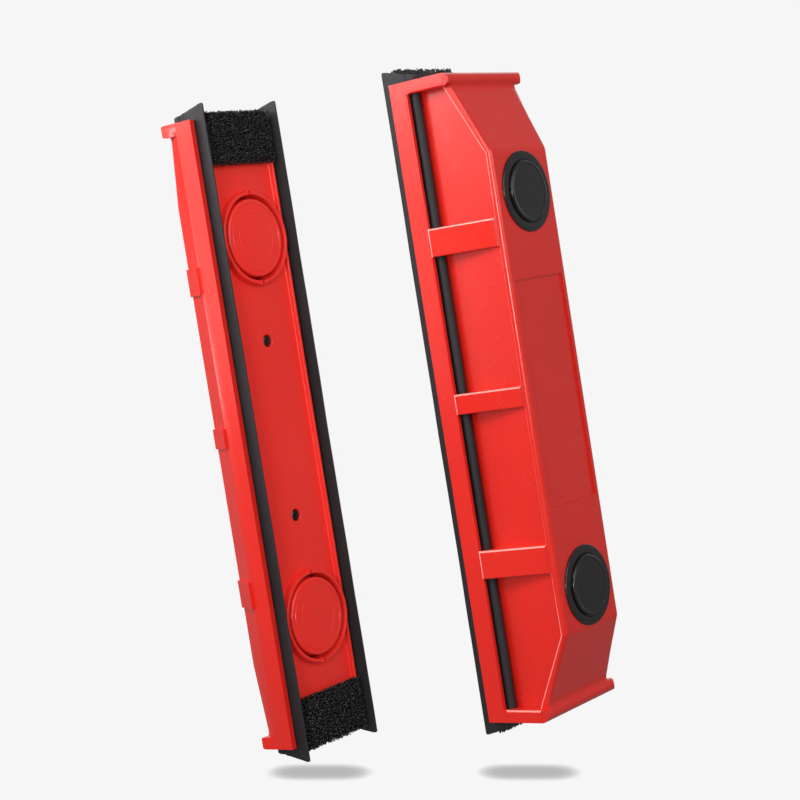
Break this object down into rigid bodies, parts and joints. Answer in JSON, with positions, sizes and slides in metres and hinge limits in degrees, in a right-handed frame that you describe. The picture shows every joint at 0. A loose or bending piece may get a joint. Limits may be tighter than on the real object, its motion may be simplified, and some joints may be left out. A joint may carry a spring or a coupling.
{
  "type": "magnetic glass cleaner",
  "caption": "Two-piece magnetic glass wiper: facing red halves with side squeegees, end scrubber pads, floating magnet cups and round black plugs.",
  "frame": {"origin": "centre of the bounding box of the two halves as laid out facing each other", "axes": "+Z along the length of both halves, +Y from the front half towards the rear half (through the pane), +X across the halves"},
  "size_m": [0.1056, 0.1422, 0.2936],
  "materials": {
    "red_shell": "glossy moulded red plastic",
    "red_inner": "satin moulded red plastic",
    "black_plug": "satin black plastic",
    "squeegee_rubber": "dark grey moulded rubber",
    "hook_pad": "coarse black looped scrubber pile",
    "screw_steel": "black zinc plated steel",
    "backing_steel": "mill steel",
    "magnet_nickel": "nickel-plated magnet"
  },
  "bodies": {
    "front_half": {"front_shell": "red_shell", "front_base_plate": "red_inner", "front_plug_upper": "black_plug", "front_plug_lower": "black_plug", "front_screw_upper": "screw_steel", "front_screw_lower": "screw_steel", "front_pad_upper": "hook_pad", "front_pad_lower": "hook_pad", "front_squeegee_root_left": "squeegee_rubber", "front_squeegee_root_right": "squeegee_rubber"},
    "front_cartridge_upper": {"front_magnet_cup_upper": "red_inner", "front_magnet_upper": "magnet_nickel", "front_backing_disc_upper": "backing_steel"},
    "front_cartridge_lower": {"front_magnet_cup_lower": "red_inner", "front_magnet_lower": "magnet_nickel", "front_backing_disc_lower": "backing_steel"},
    "front_lip_left": {"front_squeegee_lip_left": "squeegee_rubber"},
    "front_lip_right": {"front_squeegee_lip_right": "squeegee_rubber"},
    "rear_half": {"rear_shell": "red_shell", "rear_base_plate": "red_inner", "rear_plug_upper": "black_plug", "rear_plug_lower": "black_plug", "rear_screw_upper": "screw_steel", "rear_screw_lower": "screw_steel", "rear_pad_upper": "hook_pad", "rear_pad_lower": "hook_pad", "rear_squeegee_root_left": "squeegee_rubber", "rear_squeegee_root_right": "squeegee_rubber"},
    "rear_cartridge_upper": {"rear_magnet_cup_upper": "red_inner", "rear_magnet_upper": "magnet_nickel", "rear_backing_disc_upper": "backing_steel"},
    "rear_cartridge_lower": {"rear_magnet_cup_lower": "red_inner", "rear_magnet_lower": "magnet_nickel", "rear_backing_disc_lower": "backing_steel"},
    "rear_lip_left": {"rear_squeegee_lip_left": "squeegee_rubber"},
    "rear_lip_right": {"rear_squeegee_lip_right": "squeegee_rubber"}
  },
  "joints": [
    {"name": "halves_close", "type": "slide", "parent": "front_half", "child": "rear_half", "axis": [0.6486, -0.7612, 0], "range_m": [0, 0.0737]},
    {"name": "front_magnet_float_upper", "type": "slide", "parent": "front_half", "child": "front_cartridge_upper", "axis": [0, 1, 0], "range_m": [0, 0.0015]},
    {"name": "front_magnet_float_lower", "type": "slide", "parent": "front_half", "child": "front_cartridge_lower", "axis": [0, 1, 0], "range_m": [0, 0.0015]},
    {"name": "front_lip_flex_left", "type": "hinge", "parent": "front_half", "child": "front_lip_left", "pos_m": [0.0003, -0.0264, 0], "axis": [0, 0, 1], "range_deg": [-18, 18], "stiffness_Nm_per_rad": 0.05},
    {"name": "front_lip_flex_right", "type": "hinge", "parent": "front_half", "child": "front_lip_right", "pos_m": [0.0475, -0.0264, 0], "axis": [0, 0, 1], "range_deg": [-18, 18], "stiffness_Nm_per_rad": 0.05},
    {"name": "rear_magnet_float_upper", "type": "slide", "parent": "rear_half", "child": "rear_cartridge_upper", "axis": [0, -1, 0], "range_m": [0, 0.0015]},
    {"name": "rear_magnet_float_lower", "type": "slide", "parent": "rear_half", "child": "rear_cartridge_lower", "axis": [0, -1, 0], "range_m": [0, 0.0015]},
    {"name": "rear_lip_flex_left", "type": "hinge", "parent": "rear_half", "child": "rear_lip_left", "pos_m": [-0.0003, 0.0478, 0], "axis": [0, 0, 1], "range_deg": [-18, 18], "stiffness_Nm_per_rad": 0.05},
    {"name": "rear_lip_flex_right", "type": "hinge", "parent": "rear_half", "child": "rear_lip_right", "pos_m": [-0.0475, 0.0478, 0], "axis": [0, 0, 1], "range_deg": [-18, 18], "stiffness_Nm_per_rad": 0.05}
  ]
}
